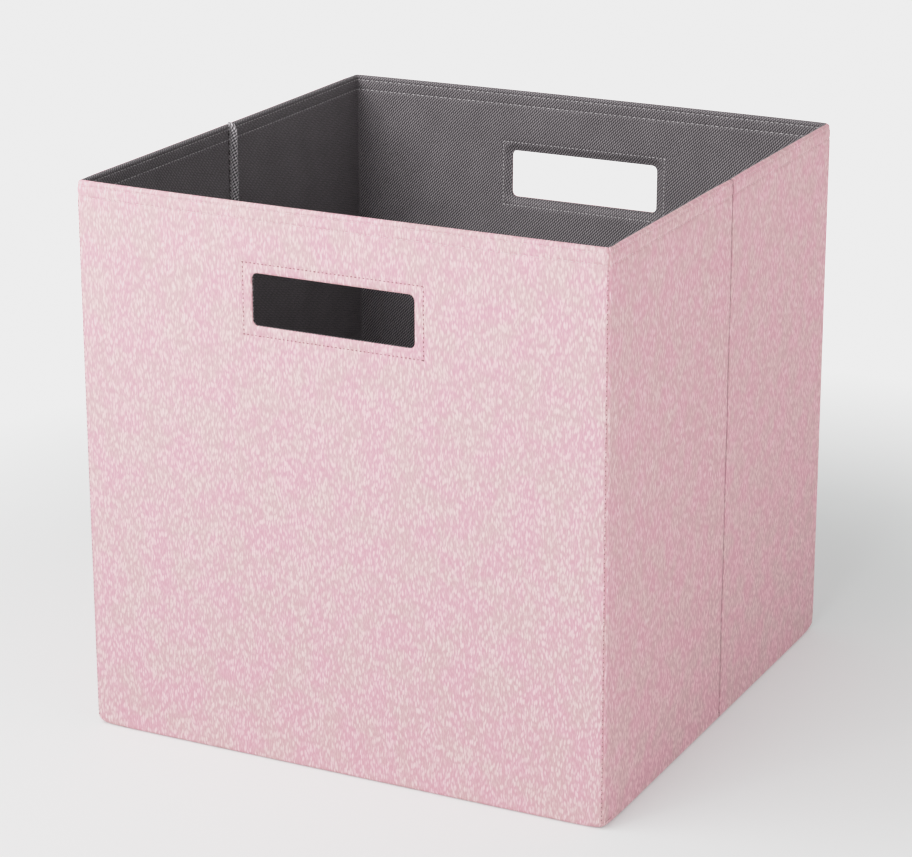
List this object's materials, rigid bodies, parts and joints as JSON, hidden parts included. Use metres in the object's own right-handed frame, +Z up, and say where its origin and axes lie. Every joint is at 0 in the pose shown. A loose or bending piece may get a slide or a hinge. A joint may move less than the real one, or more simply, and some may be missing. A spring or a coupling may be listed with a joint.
{
  "type": "fabric storage bin",
  "caption": "Collapsible cube bin of stiffened cloth walls with hand slots, creased side walls that fold in, and a lift-out floor insert.",
  "frame": {"origin": "centre of the underside, on the surface that the bin stands on", "axes": "+Z up, front wall with a hand slot towards -Y, creased side walls at -X and +X"},
  "size_m": [0.33, 0.33, 0.33],
  "materials": {
    "outer_cloth": "woven, pale flecks on dusty pink",
    "lining": "dark grey nonwoven with embossed dots",
    "thread": "sewing thread",
    "stiffener": "plain grey board"
  },
  "bodies": {
    "back": {"back_outer_cloth": "outer_cloth", "back_board": "stiffener", "back_lining": "lining", "back_left_corner_cloth": "outer_cloth", "back_left_corner_lining": "lining", "back_right_corner_cloth": "outer_cloth", "back_right_corner_lining": "lining", "base_cloth": "lining"},
    "left_rear": {"left_rear_outer_cloth": "outer_cloth", "left_rear_board": "stiffener", "left_rear_lining": "lining"},
    "left_front": {"left_front_outer_cloth": "outer_cloth", "left_front_board": "stiffener", "left_front_lining": "lining"},
    "front": {"front_outer_cloth": "outer_cloth", "front_board": "stiffener", "front_lining": "lining", "front_left_corner_cloth": "outer_cloth", "front_left_corner_lining": "lining", "front_right_corner_cloth": "outer_cloth", "front_right_corner_lining": "lining"},
    "right_front": {"right_front_outer_cloth": "outer_cloth", "right_front_board": "stiffener", "right_front_lining": "lining"},
    "right_rear": {"right_rear_outer_cloth": "outer_cloth", "right_rear_board": "stiffener", "right_rear_lining": "lining"},
    "floor_insert": {"floor_board": "stiffener", "floor_cover": "lining"}
  },
  "joints": [
    {"name": "fold", "type": "hinge", "parent": "back", "child": "left_rear", "pos_m": [-0.1658, 0.1546, 0.165], "axis": [0, 0, 1], "range_deg": [0, 90], "deforming": ["back_left_corner_cloth", "back_left_corner_lining", "base_cloth"]},
    {"name": "left_crease", "type": "hinge", "parent": "left_rear", "child": "left_front", "pos_m": [-0.1658, 0, 0.165], "axis": [0, 0, 1], "range_deg": [-180, 0]},
    {"name": "front_left_corner", "type": "hinge", "parent": "left_front", "child": "front", "pos_m": [-0.1658, -0.1546, 0.165], "axis": [0, 0, 1], "range_deg": [0, 90], "deforming": ["front_left_corner_cloth", "front_left_corner_lining"]},
    {"name": "front_right_corner", "type": "hinge", "parent": "front", "child": "right_front", "pos_m": [0.1658, -0.1546, 0.165], "axis": [0, 0, 1], "range_deg": [0, 90], "deforming": ["front_right_corner_cloth", "front_right_corner_lining"]},
    {"name": "back_right_corner", "type": "hinge", "parent": "back", "child": "right_rear", "pos_m": [0.1658, 0.1546, 0.165], "axis": [0, 0, 1], "range_deg": [-90, 0], "deforming": ["back_right_corner_cloth", "back_right_corner_lining"]},
    {"name": "floor_lift", "type": "slide", "parent": "back", "child": "floor_insert", "axis": [0, 0, 1], "range_m": [0, 0.36]}
  ],
  "couplings": [
    {"joint": "left_crease", "follows": "fold", "ratio": -2},
    {"joint": "front_left_corner", "follows": "fold", "ratio": 1},
    {"joint": "front_right_corner", "follows": "fold", "ratio": 1},
    {"joint": "back_right_corner", "follows": "fold", "ratio": -1}
  ]
}
